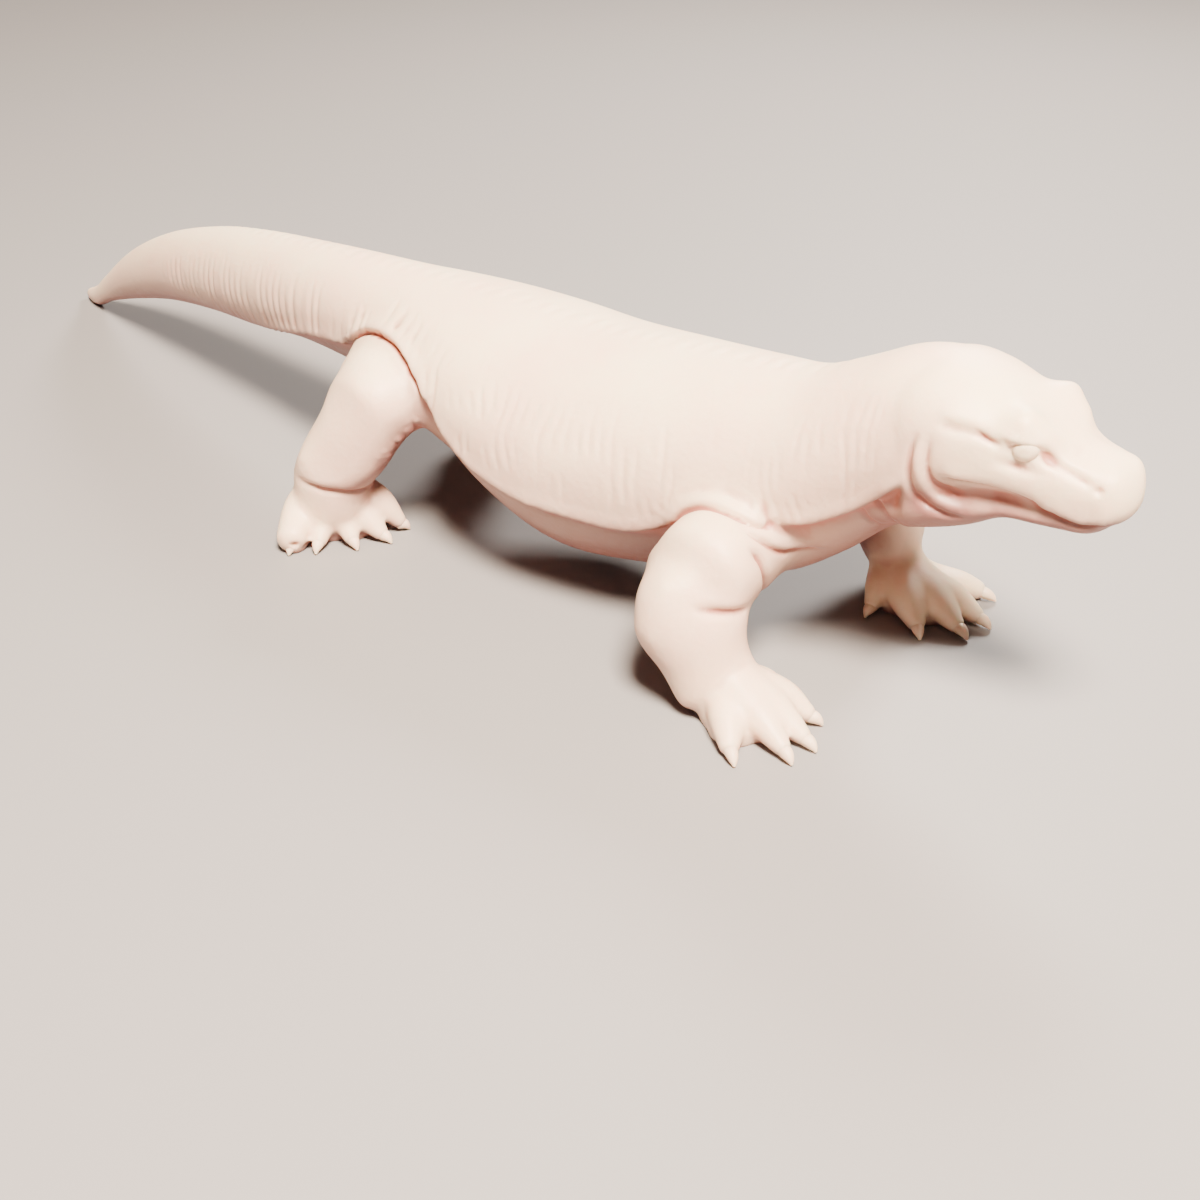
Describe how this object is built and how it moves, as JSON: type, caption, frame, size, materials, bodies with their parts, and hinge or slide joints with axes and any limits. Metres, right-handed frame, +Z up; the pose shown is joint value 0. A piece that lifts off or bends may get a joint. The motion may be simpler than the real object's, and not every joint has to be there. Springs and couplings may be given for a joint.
{
  "type": "komodo dragon figurine",
  "caption": "Small one-colour cast lizard figurine standing on spread clawed feet, head raised, belly skin fold along the flank, tail curving down to the table.",
  "frame": {"origin": "middle of the figurine's box, on the table under the soles", "axes": "+X towards the snout, +Y to the animal's left, +Z up"},
  "size_m": [0.175, 0.0454, 0.0368],
  "materials": {
    "cream_resin": "satin, unpainted"
  },
  "bodies": {
    "root": {"trunk": "cream_resin", "belly": "cream_resin", "neck": "cream_resin", "throat": "cream_resin", "tail_base": "cream_resin", "tail_middle": "cream_resin", "tail_tip": "cream_resin", "head": "cream_resin", "lower_jaw": "cream_resin", "eye_left": "cream_resin", "eye_right": "cream_resin", "front_right_upper_arm": "cream_resin", "front_right_forearm": "cream_resin", "front_right_hand": "cream_resin", "front_right_claw_1": "cream_resin", "front_right_claw_2": "cream_resin", "front_right_claw_3": "cream_resin", "front_right_claw_4": "cream_resin", "front_right_claw_5": "cream_resin", "front_left_upper_arm": "cream_resin", "front_left_forearm": "cream_resin", "front_left_hand": "cream_resin", "front_left_claw_1": "cream_resin", "front_left_claw_2": "cream_resin", "front_left_claw_3": "cream_resin", "front_left_claw_4": "cream_resin", "front_left_claw_5": "cream_resin", "hind_right_thigh": "cream_resin", "hind_right_shank": "cream_resin", "hind_right_foot": "cream_resin", "hind_right_claw_1": "cream_resin", "hind_right_claw_2": "cream_resin", "hind_right_claw_3": "cream_resin", "hind_right_claw_4": "cream_resin", "hind_right_claw_5": "cream_resin", "hind_left_thigh": "cream_resin", "hind_left_shank": "cream_resin", "hind_left_foot": "cream_resin", "hind_left_claw_1": "cream_resin", "hind_left_claw_2": "cream_resin", "hind_left_claw_3": "cream_resin", "hind_left_claw_4": "cream_resin", "hind_left_claw_5": "cream_resin"}
  },
  "joints": []
}
